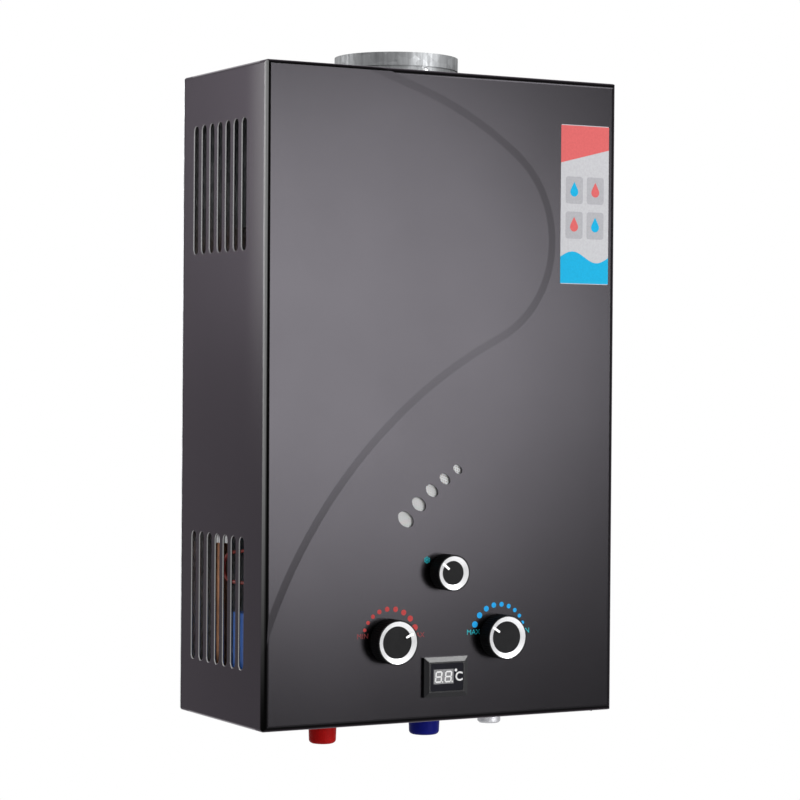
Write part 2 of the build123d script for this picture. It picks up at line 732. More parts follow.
def spindle_section(clear=0.0):
    """D-shaped section, with its flat away from the pointer side."""
    radius = SPINDLE_R + clear
    flat = SPINDLE_R - SPINDLE_FLAT + clear
    keep = Pos((flat - radius) / 2, 0) * Rectangle(flat + radius, 2 * radius)
    return Circle(radius) & keep


def make_knob(x, z, radius, ring_inner, flutes, pointer):
    """A knob body, its dished ring with the pointer, and its spindle."""
    ring_r = radius - KNOB_RIM
    plane = face_plane(x, z)
    turn = Rot(0, 0, pointer)
    notches = PolarLocations(radius, flutes) * Circle(FLUTE_R)
    body = Pos(0, 0, KNOB_GAP) * extrude(Circle(radius) - notches, amount=KNOB_HEIGHT - KNOB_GAP)
    disc = KNOB_HEIGHT - DISC_DEPTH
    seat = KNOB_HEIGHT - RING_SEAT
    web = KNOB_HEIGHT - KNOB_FACE
    body -= rod_z(0, 0, disc, KNOB_HEIGHT + SHEET, ring_r + FIT)
    body -= rod_z(0, 0, seat, KNOB_HEIGHT, ring_r + FIT) - rod_z(0, 0, seat, KNOB_HEIGHT, ring_inner - FIT)
    body -= rod_z(0, 0, 0, web, radius - KNOB_WALL)
    hub = rod_z(0, 0, KNOB_GAP, web, SPINDLE_R + HUB_WALL)
    body += hub - extrude(turn * spindle_section(FIT), amount=web)
    profile = Polyline(
        (ring_inner, 0, seat),
        (ring_r, 0, seat),
        (ring_r, 0, KNOB_HEIGHT),
        (ring_inner, 0, KNOB_HEIGHT - RING_DISH),
        close=True,
    )
    ring = revolve(Face(Wire(profile.edges())), axis=Axis.Z)
    start = ring_inner - POINTER_REACH
    end = ring_r - POINTER_MARGIN
    bar = span(start, end, -POINTER_WIDTH / 2, POINTER_WIDTH / 2, disc, KNOB_HEIGHT - POINTER_DROP)
    ring += turn * bar
    depth = BORE_END - BORE_END_CLEAR - FIELD
    spindle = Pos(0, 0, -depth) * extrude(turn * spindle_section(), amount=depth + web)
    return [plane * piece for piece in (body, ring, spindle)]


def spindle_bore(x, z):
    return rod_y(x, BOSS_FRONT - SHEET, BORE_END, z, SPINDLE_R + FIT)


def spindle_boss(x, z):
    return rod_y(x, BOSS_FRONT, VALVE_FRONT, z, BOSS_R)


# Front fittings

def make_viewing_mesh():
    """Perforated plate on a raised rim, turned along the row of windows."""
    places = window_places()
    first, last = places[0], places[-1]
    along = atan2(last[1] - first[1], last[0] - first[0])
    middle = ((first[0] + last[0]) / 2, (first[1] + last[1]) / 2)
    length = hypot(last[0] - first[0], last[1] - first[1]) + 2 * (WINDOW_LONG_R + MESH_MARGIN)
    width = 2 * (WINDOW_LONG_R + MESH_MARGIN)
    plane = face_plane(*middle, INNER_FRONT) * Rot(0, 0, degrees(along))
    outer = Rectangle(length, width)
    rim = outer - Rectangle(length - 2 * MESH_RIM, width - 2 * MESH_RIM)

    def seen(u, v):
        """True where a hole lies inside a window."""
        x = middle[0] + u * cos(along) - v * sin(along)
        z = middle[1] + u * sin(along) + v * cos(along)
        tilt = radians(WINDOW_TILT)
        for wx, wz, scale in places:
            du = (x - wx) * cos(tilt) + (z - wz) * sin(tilt)
            dv = (z - wz) * cos(tilt) - (x - wx) * sin(tilt)
            if hypot(du / (WINDOW_LONG_R * scale), dv / (WINDOW_SHORT_R * scale)) < 1:
                return True
        return False

    row_step = MESH_PITCH * sqrt(3) / 2
    rows = int(width / 2 / row_step)
    columns = int(length / 2 / MESH_PITCH)
    holes = []
    for row in range(-rows, rows + 1):
        for column in range(-columns, columns + 1):
            u = (column + (row % 2) / 2) * MESH_PITCH
            v = row * row_step
            if seen(u, v):
                holes.append(Pos(u, v) * Circle(MESH_HOLE_R))
    plate = extrude(outer - holes, amount=MESH_SHEET)
    frame = Pos(0, 0, MESH_SHEET) * extrude(rim, amount=MESH_GAP)
    return plane * Pos(0, 0, -MESH_GAP - MESH_SHEET) * (plate + frame)


def make_display():
    """Bezel with its bevelled crown, the lens in it and the board behind."""
    plane = face_plane(0, BOTTOM + BEZEL_RISE)
    crown_w = BEZEL_WIDTH - 2 * BEZEL_BEVEL
    crown_h = BEZEL_HEIGHT - 2 * BEZEL_BEVEL
    front = BEZEL_WALL + BEZEL_CROWN
    wall = extrude(Rectangle(BEZEL_WIDTH, BEZEL_HEIGHT), amount=BEZEL_WALL)
    sections = [
        Pos(0, 0, BEZEL_WALL) * Rectangle(BEZEL_WIDTH, BEZEL_HEIGHT),
        Pos(0, 0, front) * Rectangle(crown_w, crown_h),
    ]
    neck_w = BEZEL_WIDTH - 2 * BEZEL_LEDGE - 2 * SEAM
    neck_h = BEZEL_HEIGHT - 2 * BEZEL_LEDGE - 2 * SEAM
    neck = Pos(0, 0, -BEZEL_NECK) * extrude(Rectangle(neck_w, neck_h), amount=BEZEL_NECK)
    bezel = wall + loft(sections, ruled=True) + neck
    lens_w = crown_w - 2 * LENS_MARGIN
    lens_h = crown_h - 2 * LENS_MARGIN
    lens_back = front - LENS_DROP - LENS_SHEET
    pocket = RectangleRounded(lens_w + 2 * FIT, lens_h + 2 * FIT, LENS_CORNER + FIT)
    bezel -= Pos(0, 0, lens_back) * extrude(pocket, amount=front)
    window = Rectangle(DIGIT_WIDTH + 2 * DIGIT_CLEAR, DIGIT_HEIGHT + 2 * DIGIT_CLEAR)
    bezel -= Pos(0, 0, -BEZEL_NECK) * extrude(window, amount=BEZEL_NECK + front)
    lens = Pos(0, 0, lens_back) * extrude(RectangleRounded(lens_w, lens_h, LENS_CORNER), amount=LENS_SHEET)
    board = Pos(0, 0, -BEZEL_NECK - BOARD_SHEET) * extrude(Rectangle(neck_w, neck_h), amount=BOARD_SHEET)
    digits = extrude(Rectangle(DIGIT_WIDTH, DIGIT_HEIGHT), amount=BEZEL_NECK + lens_back - SEAM)
    board += Pos(0, 0, -BEZEL_NECK) * digits
    return [plane * piece for piece in (bezel, lens, board)]


# Flue

def make_flue_collar():
    """A foot over the hood's neck and, above a small shoulder, the plain part that takes the flue pipe."""
    plain_base = TOP + COLLAR_RISE - COLLAR_PLAIN
    collar = rod_z(0, FLUE_Y, HOOD_TOP, plain_base, COLLAR_FOOT_R)
    collar += rod_z(0, FLUE_Y, plain_base, TOP + COLLAR_RISE, COLLAR_R)
    collar -= rod_z(0, FLUE_Y, HOOD_TOP, plain_base + COLLAR_WALL, COLLAR_FOOT_R - COLLAR_WALL)
    collar -= rod_z(0, FLUE_Y, plain_base + COLLAR_WALL, TOP + COLLAR_RISE, COLLAR_R - COLLAR_WALL)
    return collar - [rivet_core(index, RIVET_SHANK_R + FIT) for index in range(RIVET_COUNT)]


def rivet_plane(index):
    """A plane on the collar's axis that looks outwards through a rivet, the first at the front."""
    angle = radians(360 * index / RIVET_COUNT - 90)
    return Plane(origin=(0, FLUE_Y, TOP + RIVET_RISE), z_dir=(cos(angle), sin(angle), 0))


def rivet_core(index, radius):
    inside = HOOD_NECK_R - 2 * HOOD_SHEET
    return rivet_plane(index) * rod_z(0, 0, inside, COLLAR_FOOT_R + RIVET_HEAD / 2, radius)


def make_collar_rivets():
    rivets = []
    dome_r = (RIVET_HEAD_R**2 + RIVET_HEAD**2) / (2 * RIVET_HEAD)
    for index in range(RIVET_COUNT):
        dome = Pos(0, 0, COLLAR_FOOT_R + RIVET_HEAD - dome_r) * Sphere(dome_r)
        head = dome & rod_z(0, 0, COLLAR_FOOT_R, COLLAR_R, RIVET_HEAD_R)
        rivets.append(rivet_plane(index) * head + rivet_core(index, RIVET_SHANK_R))
    return group(rivets)


def make_draught_hood():
    half = HOOD_WIDTH / 2
    hood = span(-half, half, HOOD_FRONT, HOOD_BACK, CHAMBER_TOP, HOOD_TOP)
    hood -= span(
        -half + HOOD_SHEET, half - HOOD_SHEET, HOOD_FRONT + HOOD_SHEET, HOOD_BACK - HOOD_SHEET,
        CHAMBER_TOP + HOOD_SHEET, HOOD_TOP - HOOD_SHEET,
    )
    hood += rod_z(0, FLUE_Y, HOOD_TOP - HOOD_SHEET, TOP + NECK_RISE, HOOD_NECK_R)
    hood -= rod_z(0, FLUE_Y, HOOD_TOP - HOOD_SHEET, TOP + NECK_RISE, HOOD_NECK_R - HOOD_SHEET)
    mouth_w = CHAMBER_WIDTH / 2 - CHAMBER_CORNER
    mouth_d = CHAMBER_DEPTH / 2 - CHAMBER_SHEET
    hood -= span(
        -mouth_w, mouth_w, FLUE_Y - mouth_d, FLUE_Y + mouth_d, CHAMBER_TOP, CHAMBER_TOP + 2 * HOOD_SHEET
    )
    draught_z = CHAMBER_TOP + DRAUGHT_RISE
    hood -= span(
        -DRAUGHT_WIDTH / 2, DRAUGHT_WIDTH / 2, HOOD_FRONT - HOOD_SHEET, HOOD_FRONT + 2 * HOOD_SHEET,
        draught_z, draught_z + DRAUGHT_HEIGHT,
    )
    return hood - [rivet_core(index, RIVET_SHANK_R + FIT) for index in range(RIVET_COUNT)]


# Combustion chamber, exchanger and water tubes

def chamber_ring(base, top, inset=0.0):
    """The chamber's rounded outline as a block, drawn in by inset."""
    outline = RectangleRounded(
        CHAMBER_WIDTH - 2 * inset, CHAMBER_DEPTH - 2 * inset, CHAMBER_CORNER - inset
    )
    return Pos(0, FLUE_Y, base) * extrude(outline, amount=top - base)


def pass_rows():
    """Depth of each straight pass of the exchanger tube, front to back."""
    return [FLUE_Y + (index - (PASS_COUNT - 1) / 2) * PASS_PITCH for index in range(PASS_COUNT)]


def make_chamber():
    chamber = chamber_ring(CHAMBER_BASE, CHAMBER_TOP)
    chamber -= chamber_ring(CHAMBER_BASE, CHAMBER_TOP, CHAMBER_SHEET)
    reach = CHAMBER_WIDTH / 2 + SHEET
    cuts = [rod_x(-reach, reach, y, EXCHANGER_Z, TUBE_R + BRAZE_GAP) for y in pass_rows()]
    sight_z = CHAMBER_BASE + SIGHT_RISE
    near = CHAMBER_FRONT - SHEET
    far = CHAMBER_FRONT + 2 * SHEET
    cuts.append(span(
        SIGHT_X - SIGHT_WIDTH / 2, SIGHT_X + SIGHT_WIDTH / 2, near, far,
        sight_z - SIGHT_HEIGHT / 2, sight_z + SIGHT_HEIGHT / 2,
    ))
    for x in (ELECTRODE_X, SENSOR_X):
        cuts.append(rod_y(x, near, far, ELECTRODE_Z, CERAMIC_R + BRAZE_GAP))
    return chamber - cuts


def make_fin_block():
    depth = CHAMBER_DEPTH / 2 - CHAMBER_SHEET - FIN_CLEAR
    fins = []
    for index in range(FIN_COUNT):
        x = (index - (FIN_COUNT - 1) / 2) * FIN_PITCH
        fin = span(
            x - FIN_SHEET / 2, x + FIN_SHEET / 2, FLUE_Y - depth, FLUE_Y + depth,
            EXCHANGER_Z - FIN_HEIGHT / 2, EXCHANGER_Z + FIN_HEIGHT / 2,
        )
        fins.append(fin - [
            rod_x(x - FIN_SHEET, x + FIN_SHEET, y, EXCHANGER_Z, TUBE_R + BRAZE_GAP) for y in pass_rows()
        ])
    return group(fins)


def make_exchanger_tube():
    """One serpentine, from the coil's riser on the right to the hot pipe on the left."""
    rows = pass_rows()
    turn = CHAMBER_WIDTH / 2 + U_REACH
    start = (RISER_X, rows[0], EXCHANGER_Z - RISER_BEND - TUBE_R)
    points = [start, (RISER_X, rows[0], EXCHANGER_Z)]
    bends = [RISER_BEND]
    side = -1
    for here, there in zip(rows, rows[1:]):
        points += [(side * turn, here, EXCHANGER_Z), (side * turn, there, EXCHANGER_Z)]
        bends += [U_BEND_R, U_BEND_R]
        side = -side
    points.append((-CHAMBER_WIDTH / 2 - TUBE_STUB, rows[-1], EXCHANGER_Z))
    return tube(points, bends, TUBE_R, TUBE_WALL)


def make_chamber_coil():
    """Turns round the chamber, rising along its sides, then up to the exchanger."""
    half_turns = COIL_HALF_TURNS if COIL_ROOM > COIL_HALF_TURNS * COIL_MIN_STEP else 1
    levels = [COIL_Z + COIL_ROOM * index / half_turns for index in range(half_turns + 1)]
    rows = pass_rows()
    points = [(RISER_X, COIL_FRONT, COIL_JOIN_Z), (RISER_X, COIL_FRONT, levels[0])]
    ends = (COIL_FRONT, COIL_BACK)
    side = -1
    for low, high in zip(levels, levels[1:]):
        points += [(side * COIL_X, ends[0], low), (side * COIL_X, ends[1], high)]
        ends = ends[::-1]
        side = -side
    points += [(RISER_X, COIL_BACK, levels[-1]), (RISER_X, rows[0], levels[-1])]
    points.append((RISER_X, rows[0], EXCHANGER_Z - RISER_BEND - TUBE_R))
    bends = [RISER_BEND] + [COIL_BEND] * (2 * half_turns + 1) + [RISER_BEND]
    return tube(points, bends, TUBE_R, TUBE_WALL)


def make_cold_pipe():
    """From the water valve's outlet to the foot of the coil."""
    outlet_x = KNOB_PAIR_X + VALVE_HALF_WIDTH
    z = KNOB_Z + OUTLET_RISE
    points = [
        (outlet_x, OUTLET_Y, z),
        (outlet_x + OUTLET_STUB, OUTLET_Y, z),
        (RISER_X, COIL_FRONT, z),
        (RISER_X, COIL_FRONT, COIL_JOIN_Z),
    ]
    return tube(points, [COLD_BEND, RISER_BEND], TUBE_R, TUBE_WALL)


def hot_route():
    """From the exchanger's end, down the left side, to the hot nipple."""
    row = pass_rows()[-1]
    level = BOTTOM + HOT_PIPE_LEVEL
    return [
        (-CHAMBER_WIDTH / 2 - TUBE_STUB, row, EXCHANGER_Z),
        (-RISER_X, row, EXCHANGER_Z),
        (-RISER_X, row, level),
        (HOT_X, PIPE_ROW_Y, level),
        (HOT_X, PIPE_ROW_Y, FLOOR_TOP + HEX_HEIGHT + HOT_SPIGOT),
    ]


def make_hot_pipe():
    return tube(hot_route(), [RISER_BEND, RISER_BEND, HOT_PIPE_BEND], TUBE_R, TUBE_WALL)


# Burner and gas side

def make_burner_frame():
    frame = chamber_ring(FRAME_BASE, CHAMBER_BASE)
    frame -= chamber_ring(BAR_BASE, CHAMBER_BASE, FRAME_SHEET)
    return frame - chamber_ring(FRAME_BASE, CHAMBER_BASE, FRAME_SHEET + FRAME_LEDGE)


def bar_places():
    return [(index - (BAR_COUNT - 1) / 2) * BAR_PITCH for index in range(BAR_COUNT)]


def burner_bar(x, inset):
    """One bar's closed form, head and venturi, drawn in by inset."""
    half_w = BAR_WIDTH / 2 - inset
    half_d = CHAMBER_DEPTH / 2 - FRAME_SHEET - BAR_CLEAR - inset
    top = BAR_BASE + BAR_HEAD - inset
    head = span(x - half_w, x + half_w, FLUE_Y - half_d, FLUE_Y + half_d, BAR_BASE + inset, top)
    half_w = VENTURI_WIDTH / 2 - inset
    front = MANIFOLD_BACK + MANIFOLD_TO_VENTURI + inset
    back = CHAMBER_BACK - VENTURI_BACK - inset
    base = BAR_BASE - VENTURI_DROP + inset
    return head + span(x - half_w, x + half_w, front, back, base, BAR_BASE + inset)


def make_burner_bars():
    """Hollow sheet-metal bars with cross slots on top and a round air mouth in front."""
    run = CHAMBER_DEPTH - 2 * (FRAME_SHEET + BAR_CLEAR + BAR_SHEET)
    ports = int((run - BURNER_PORT_PITCH) / BURNER_PORT_PITCH)
    top = BAR_BASE + BAR_HEAD
    mouth = MANIFOLD_BACK + MANIFOLD_TO_VENTURI
    bars = []
    for x in bar_places():
        cuts = [rod_y(x, mouth - SHEET, mouth + 2 * BAR_SHEET, INJECTOR_Z, VENTURI_R)]
        for index in range(ports):
            y = FLUE_Y + (index - (ports - 1) / 2) * BURNER_PORT_PITCH
            cuts.append(span(
                x - BURNER_PORT_LENGTH / 2, x + BURNER_PORT_LENGTH / 2,
                y - BURNER_PORT_WIDTH / 2, y + BURNER_PORT_WIDTH / 2, top - 2 * BAR_SHEET, top + SHEET,
            ))
        bars.append(burner_bar(x, 0.0) - burner_bar(x, BAR_SHEET) - cuts)
    return group(bars)


def make_gas_manifold():
    half = MANIFOLD_WIDTH / 2
    bar = span(-half, half, MANIFOLD_FRONT, MANIFOLD_BACK, MANIFOLD_BASE, MANIFOLD_TOP)
    bar = fillet(bar.edges().filter_by(Axis.X), VALVE_EDGE)
    bar += spindle_boss(0, SEASON_Z)
    return bar - spindle_bore(0, SEASON_Z)


def make_injectors():
    injectors = []
    for x in bar_places():
        base_end = MANIFOLD_BACK + INJECTOR_BASE
        tip_end = base_end + INJECTOR_TIP
        jet = rod_y(x, MANIFOLD_BACK, base_end, INJECTOR_Z, INJECTOR_BASE_R)
        jet += rod_y(x, base_end, tip_end, INJECTOR_Z, INJECTOR_TIP_R)
        injectors.append(jet - rod_y(x, MANIFOLD_BACK, tip_end, INJECTOR_Z, INJECTOR_BORE_R))
    return group(injectors)


def valve_block(x):
    block = span(
        x - VALVE_HALF_WIDTH, x + VALVE_HALF_WIDTH, VALVE_FRONT, VALVE_BACK, VALVE_BOTTOM, VALVE_TOP
    )
    block = fillet(block.edges().filter_by(Axis.Z), VALVE_EDGE)
    return block + spindle_boss(x, KNOB_Z)


def rod_bore_end():
    return GAS_FLANK - ROD_INSERT - ROD_END_CLEAR


def make_gas_valve():
    body = valve_block(-KNOB_PAIR_X)
    neck_y = (MANIFOLD_FRONT + MANIFOLD_BACK) / 2
    body += rod_z(-KNOB_PAIR_X, neck_y, VALVE_TOP, MANIFOLD_BASE, NECK_R)
    body += rod_x(GAS_FLANK, GAS_FLANK + VALVE_GUIDE, ROD_Y, KNOB_Z, GUIDE_R)
    body -= rod_x(rod_bore_end(), GAS_FLANK + VALVE_GUIDE, ROD_Y, KNOB_Z, ROD_R + FIT)
    return body - spindle_bore(-KNOB_PAIR_X, KNOB_Z)


def make_solenoid():
    left = SOLENOID_LEFT + SOLENOID_CAP
    coil = rod_x(left, left + SOLENOID_LENGTH, ROD_Y, KNOB_Z, SOLENOID_R)
    return coil + rod_x(SOLENOID_LEFT, left, ROD_Y, KNOB_Z, SOLENOID_CAP_R)


def make_gas_pipe():
    """From the gas nipple, low behind the water valve, to the gas valve's back."""
    back = -GAS_PIPE_FROM_WALL
    low = BOTTOM + GAS_PIPE_LOW
    high = BOTTOM + GAS_PIPE_RISE
    points = [
        (GAS_X, PIPE_ROW_Y, FLOOR_TOP + HEX_HEIGHT),
        (GAS_X, PIPE_ROW_Y, low),
        (GAS_X, back, low),
        (-KNOB_PAIR_X, back, low),
        (-KNOB_PAIR_X, back, high),
        (-KNOB_PAIR_X, VALVE_BACK, high),
    ]
    return tube(points, GAS_PIPE_BEND, GAS_PIPE_R, TUBE_WALL)


# Water valve

def make_water_valve():
    body = valve_block(KNOB_PAIR_X)
    body += rod_x(DIAPHRAGM_RIGHT, WATER_FLANK, ROD_Y, KNOB_Z, HOUSING_R)
    body -= rod_x(DIAPHRAGM_RIGHT, DIAPHRAGM_RIGHT + HOUSING_CAVITY, ROD_Y, KNOB_Z, HOUSING_CAVITY_R)
    return body - spindle_bore(KNOB_PAIR_X, KNOB_Z)


def make_diaphragm():
    return rod_x(DIAPHRAGM_LEFT, DIAPHRAGM_RIGHT, ROD_Y, KNOB_Z, HOUSING_R)


def make_diaphragm_cover():
    cover = rod_x(COVER_LEFT, DIAPHRAGM_LEFT, ROD_Y, KNOB_Z, HOUSING_R)
    cover -= rod_x(COVER_LEFT + COVER_FLOOR, DIAPHRAGM_LEFT, ROD_Y, KNOB_Z, HOUSING_CAVITY_R)
    cover += rod_x(COVER_LEFT - GUIDE_LENGTH, COVER_LEFT, ROD_Y, KNOB_Z, GUIDE_R)
    return cover - rod_x(COVER_LEFT - GUIDE_LENGTH, DIAPHRAGM_LEFT, ROD_Y, KNOB_Z, ROD_R + FIT)


def make_push_rod():
    rod = rod_x(GAS_FLANK - ROD_INSERT, DIAPHRAGM_LEFT, ROD_Y, KNOB_Z, ROD_R)
    rod += rod_x(DIAPHRAGM_LEFT - LIFT_PLATE, DIAPHRAGM_LEFT, ROD_Y, KNOB_Z, LIFT_PLATE_R)
    return rod + rod_x(COLLAR_LEFT, COLLAR_RIGHT, ROD_Y, KNOB_Z, ROD_COLLAR_R)


def make_return_spring():
    left = GAS_FLANK + VALVE_GUIDE
    right = COLLAR_LEFT
    height = right - left - 2 * SPRING_WIRE_R - 2 * FIT
    start = left + SPRING_WIRE_R + FIT
    helix = Helix(
        height / SPRING_TURNS, height, SPRING_R, center=(start, ROD_Y, KNOB_Z), direction=(1, 0, 0)
    )
    section = Plane(origin=helix @ 0, z_dir=helix % 0) * Circle(SPRING_WIRE_R)
    return sweep(section, path=helix, is_frenet=True)


def make_microswitch():
    base = KNOB_Z + MICRO_BOTTOM
    half = MICRO_WIDTH / 2
    face = LEVER_X - MICRO_FACE
    body = span(GAS_FLANK, face, ROD_Y - half, ROD_Y + half, base, base + MICRO_HEIGHT)
    for side in (-1, 1):
        ys = sorted((ROD_Y + side * half, ROD_Y + side * (half + EAR_SHEET)))
        body += span(
            face - EAR_REACH, LEVER_X + EAR_REACH, *ys, LEVER_Z - EAR_HALF_HEIGHT, LEVER_Z + EAR_HALF_HEIGHT
        )
    pin = rod_y(LEVER_X, ROD_Y - 2 * half, ROD_Y + 2 * half, LEVER_Z, LEVER_PIN_R + FIT)
    return body - pin


def make_microswitch_lever():
    half = LEVER_WIDTH / 2
    strip = span(
        LEVER_X - LEVER_SHEET / 2, LEVER_X + LEVER_SHEET / 2, ROD_Y - half, ROD_Y + half,
        LEVER_Z - LEVER_LENGTH, LEVER_Z,
    )
    strip += rod_y(LEVER_X, ROD_Y - half, ROD_Y + half, LEVER_Z, LEVER_KNUCKLE_R)
    ends = MICRO_WIDTH / 2 + EAR_SHEET
    return strip + rod_y(LEVER_X, ROD_Y - ends, ROD_Y + ends, LEVER_Z, LEVER_PIN_R)


# Nipples and caps

def nipple(x, end, spigot_r, spigot_top):
    """A threaded end below the bottom plate, a hexagon on it and a spigot above."""
    thread_end = FLOOR_BASE - LOCKNUT_HEIGHT
    body = rod_z(x, PIPE_ROW_Y, end, thread_end, NIPPLE_R)
    body = chamfer(body.edges().sort_by(Axis.Z)[0], NIPPLE_CHAMFER)
    body += rod_z(x, PIPE_ROW_Y, thread_end, FLOOR_TOP, NIPPLE_NECK_R)
    body += hex_z(x, PIPE_ROW_Y, FLOOR_TOP, FLOOR_TOP + HEX_HEIGHT, HEX_R)
    if spigot_top > FLOOR_TOP + HEX_HEIGHT:
        body += rod_z(x, PIPE_ROW_Y, FLOOR_TOP + HEX_HEIGHT, spigot_top, spigot_r)
    return body - rod_z(x, PIPE_ROW_Y, end, spigot_top, NIPPLE_BORE_R)


def make_hot_nipple():
    top = FLOOR_TOP + HEX_HEIGHT + HOT_SPIGOT
    return nipple(HOT_X, BOTTOM - NIPPLE_DROP, HOT_SPIGOT_R, top)


def make_gas_nipple():
    return nipple(GAS_X, BOTTOM - GAS_NIPPLE_DROP, HOT_SPIGOT_R, FLOOR_TOP + HEX_HEIGHT)


def make_cold_nipple():
    body = nipple(COLD_X, BOTTOM - NIPPLE_DROP, COLD_SPIGOT_R, VALVE_BOTTOM)
    return body - rod_z(COLD_X, PIPE_ROW_Y, VALVE_BOTTOM - FILTER_SEAT_DROP, VALVE_BOTTOM, FILTER_SEAT_R)


def make_inlet_filter():
    seat = VALVE_BOTTOM - FILTER_SEAT_DROP
    cup = rod_z(COLD_X, PIPE_ROW_Y, seat - FILTER_LENGTH, seat, FILTER_R)
    cup += rod_z(COLD_X, PIPE_ROW_Y, seat, seat + FILTER_FLANGE, FILTER_FLANGE_R)
    inner = FILTER_R - FILTER_WALL
    return cup - rod_z(COLD_X, PIPE_ROW_Y, seat - FILTER_LENGTH + FILTER_WALL, seat + FILTER_FLANGE, inner)


def make_locknuts():
    nuts = []
    for x in (HOT_X, COLD_X, GAS_X):
        levels = (FLOOR_BASE - LOCKNUT_HEIGHT, FLOOR_BASE)
        nut = hex_z(x, PIPE_ROW_Y, *levels, LOCKNUT_R)
        nuts.append(nut - rod_z(x, PIPE_ROW_Y, *levels, NIPPLE_NECK_R + BRAZE_GAP))
    return group(nuts)


def make_cap(x, radius, drop):
    """A tapered cup over a nipple, rounded at its closed lower end."""
    top = FLOOR_BASE - LOCKNUT_HEIGHT - CAP_TOP_GAP
    base = BOTTOM - drop
    form = loft([
        Pos(x, PIPE_ROW_Y, base) * Circle(radius - CAP_TAPER),
        Pos(x, PIPE_ROW_Y, top) * Circle(radius),
    ])
    form = fillet(form.edges().sort_by(Axis.Z)[0], CAP_BOTTOM_FILLET)
    floor = BOTTOM - NIPPLE_DROP - CAP_FLOOR_GAP
    return form - rod_z(x, PIPE_ROW_Y, floor, top, NIPPLE_R + CAP_CLEAR)


# Igniter, sensors and leads

def make_igniter_box():
    box = span(
        IGNITER_LEFT, IGNITER_LEFT + IGNITER_WIDTH, IGNITER_FRONT, IGNITER_FRONT + IGNITER_DEPTH,
        FLOOR_TOP, FLOOR_TOP + IGNITER_HEIGHT,
    )
    return fillet(box.edges().filter_by(Axis.Z), IGNITER_EDGE)


def make_electrode(x):
    """A ceramic sleeve with its flange on the chamber's front, and the wire through it."""
    near = CHAMBER_FRONT - CERAMIC_OUT
    rod = rod_y(x, near, CHAMBER_FRONT + CERAMIC_IN, ELECTRODE_Z, CERAMIC_R)
    rod += rod_y(x, CHAMBER_FRONT - CERAMIC_FLANGE, CHAMBER_FRONT, ELECTRODE_Z, CERAMIC_FLANGE_R)
    return rod + rod_y(x, near, CHAMBER_FRONT + CERAMIC_IN + WIRE_IN, ELECTRODE_Z, WIRE_R)


def make_thermostat():
    z = HOOD_TOP - THERMOSTAT_DROP
    return rod_y(THERMOSTAT_X, HOOD_FRONT - THERMOSTAT_HEIGHT, HOOD_FRONT, z, THERMOSTAT_R)


def make_probe():
    """A clip round the hot pipe with the sensing capsule beside it."""
    y = pass_rows()[-1]
    base = BOTTOM + PROBE_RISE
    outer = TUBE_R + BRAZE_GAP + PROBE_WALL
    clip = rod_z(-RISER_X, y, base, base + PROBE_LENGTH, outer)
    clip += rod_z(-RISER_X, y - outer - PROBE_R / 2, base, base + PROBE_LENGTH, PROBE_R)
    return clip - rod_z(-RISER_X, y, base, base + PROBE_LENGTH, TUBE_R + BRAZE_GAP)


def make_ignition_lead():
    """From the igniter's top, in a loop at its rear and across in front of the chamber, to the electrode."""
    x = IGNITER_LEFT + IGNITER_WIDTH / 2
    y = IGNITER_FRONT + IGNITER_DEPTH / 2
    top = FLOOR_TOP + IGNITER_HEIGHT
    end = CHAMBER_FRONT - CERAMIC_OUT
    loop_x = IGNITER_LEFT + LEAD_LOOP_SHARE * IGNITER_WIDTH
    loop_y = IGNITER_FRONT + IGNITER_DEPTH + LEAD_LOOP_BACK
    points = [
        (x, y, top),
        (x, y, top + LEAD_LOOP_RISE),
        (loop_x, loop_y, top + LEAD_LOOP_RISE),
        (loop_x, loop_y, top + 2 * LEAD_LOOP_RISE),
        (x + LEAD_REACH, end - LEAD_STUB, top + LEAD_RISE + LEAD_CLIMB),
        (ELECTRODE_X - LEAD_REACH, end - LEAD_STUB, ELECTRODE_Z - LEAD_CLIMB),
        (ELECTRODE_X, end - LEAD_STUB, ELECTRODE_Z),
        (ELECTRODE_X, end, ELECTRODE_Z),
    ]
    return tube(points, [LEAD_LOOP] * 3 + [LEAD_SWEEP, LEAD_SWEEP, LEAD_BEND], LEAD_R)


def make_display_lead():
    """From the display board's back to the igniter's right side."""
    start_y = FIELD + BEZEL_NECK + BOARD_SHEET
    z = BOTTOM + BEZEL_RISE
    end_x = IGNITER_LEFT + IGNITER_WIDTH
    end_y = IGNITER_FRONT + IGNITER_DEPTH / 2
    points = [
        (0, start_y, z),
        (0, start_y + LEAD_STUB, z),
        (-DISPLAY_LEAD_X, start_y + LEAD_STUB, z - LEAD_OFFSET),
        (end_x + DISPLAY_LEAD_X, end_y, z - LEAD_OFFSET),
        (end_x, end_y, z - LEAD_OFFSET),
    ]
    return tube(points, [LEAD_BEND, LEAD_SWEEP, LEAD_SWEEP], LEAD_R)


def make_sensor_lead():
    """From the thermostat on the hood, down the left side, to the igniter's top."""
    z = HOOD_TOP - THERMOSTAT_DROP
    y = HOOD_FRONT - THERMOSTAT_HEIGHT
    side = IGNITER_LEFT + LEAD_OFFSET
    top = FLOOR_TOP + IGNITER_HEIGHT
    back = IGNITER_FRONT + IGNITER_DEPTH - LEAD_OFFSET
    points = [
        (THERMOSTAT_X, y, z),
        (THERMOSTAT_X, y - LEAD_OFFSET, z),
        (-LEAD_SIDE_X, y - LEAD_OFFSET, z - LEAD_CLIMB),
        (side, back, z - LEAD_RISE),
        (side, back, top),
    ]
    return tube(points, [LEAD_BEND, LEAD_SWEEP, LEAD_SWEEP], LEAD_R)


# Batteries

def cell_rows():
    return (BOX_Y - BATTERY_PITCH / 2, BOX_Y + BATTERY_PITCH / 2)


